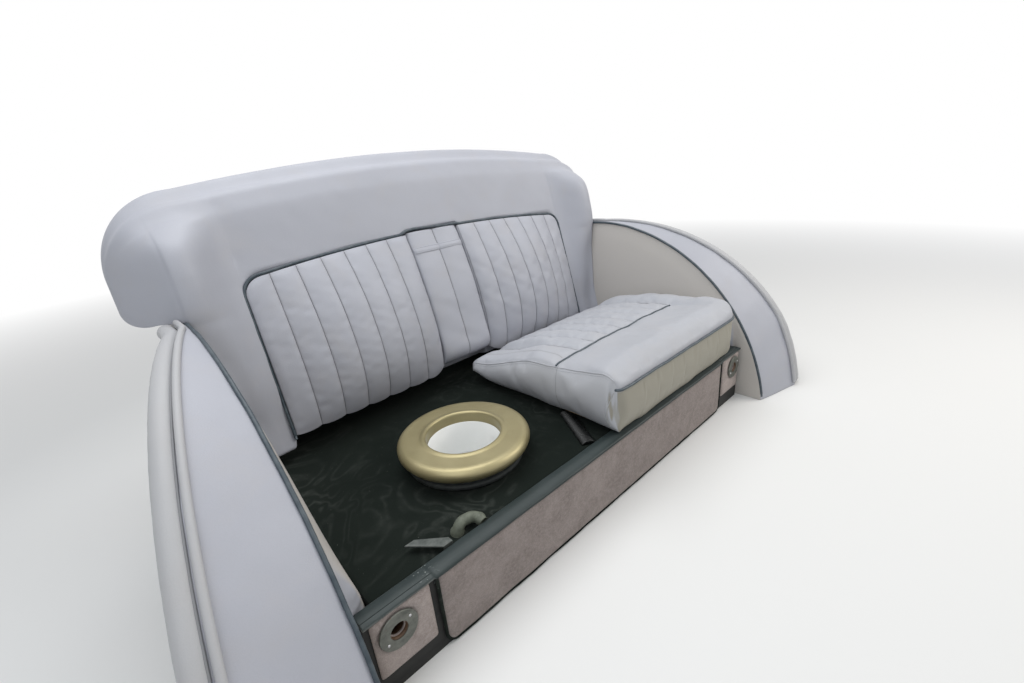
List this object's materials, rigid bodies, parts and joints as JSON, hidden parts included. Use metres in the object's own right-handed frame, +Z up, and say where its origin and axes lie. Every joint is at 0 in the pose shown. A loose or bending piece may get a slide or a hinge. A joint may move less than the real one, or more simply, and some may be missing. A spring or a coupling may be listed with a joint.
{
  "type": "limousine rear bench seat",
  "caption": "Pleated rear bench seat with folding centre armrest, wheel-arch covers, and one seat cushion out to show the deck and its commode.",
  "frame": {"origin": "on the floor, at the middle of the rear bearer's underside, under the line where the back squabs meet the seat", "axes": "+X across the car to the seat's far side, +Y to the rear, +Z up; the seat faces -Y"},
  "size_m": [1.81, 0.9956, 0.863],
  "materials": {
    "leather": "soft grained grey leather",
    "piping": "dark blue-grey leather piping",
    "carpet": "short cut pile",
    "felt": "thin black felt",
    "rail_vinyl": "dark vinyl wrap",
    "plywood": "plain birch plywood",
    "ash": "planed ash",
    "steel": "satin black paint",
    "pin_steel": "bright turned",
    "gold": "satin gold paint",
    "rubber": "matt black rubber",
    "bowl_white": "white gloss",
    "bare_metal": "dull, scuffed",
    "drain_plastic": "aged grey-green"
  },
  "bodies": {
    "base": {"side_board_left": "plywood", "side_board_right": "plywood", "front_bearer": "ash", "rear_bearer": "ash", "deck_joists": "ash", "deck_panel": "plywood", "deck_felt": "felt", "front_rail": "rail_vinyl", "heelboard": "plywood", "heel_carpet": "carpet", "end_carpet_left": "carpet", "end_carpet_right": "carpet", "vent_disc_left": "bare_metal", "vent_disc_right": "bare_metal", "commode_bowl": "bowl_white", "commode_gasket": "rubber", "commode_ring": "gold", "deck_lever": "bare_metal", "drain_elbow": "drain_plastic", "ribbed_strap": "rubber", "back_board": "plywood", "back_post_left": "ash", "back_post_right": "ash", "back_pad": "leather", "squab_left": "leather", "squab_right": "leather", "squab_piping": "piping", "armrest_bracket_left": "steel", "armrest_bracket_right": "steel", "armrest_pin": "pin_steel", "arch_cover_left": "leather", "arch_cover_right": "leather", "arch_shell_left": "steel", "arch_shell_right": "steel", "arch_piping_left": "piping", "arch_piping_right": "piping"},
    "armrest": {"armrest_tube": "pin_steel", "armrest_pad": "leather", "armrest_band": "leather"},
    "cushion": {"cushion_pad": "leather", "cushion_board": "plywood"}
  },
  "joints": [
    {"name": "armrest_fold", "type": "hinge", "parent": "base", "child": "armrest", "pos_m": [0, 0.03039, 0.28529], "axis": [1, 0, 0], "range_deg": [0, 90]},
    {"name": "cushion_draw", "type": "slide", "parent": "base", "child": "cushion", "axis": [0, -0.9857, 0.1685], "range_m": [0, 0.35]}
  ]
}
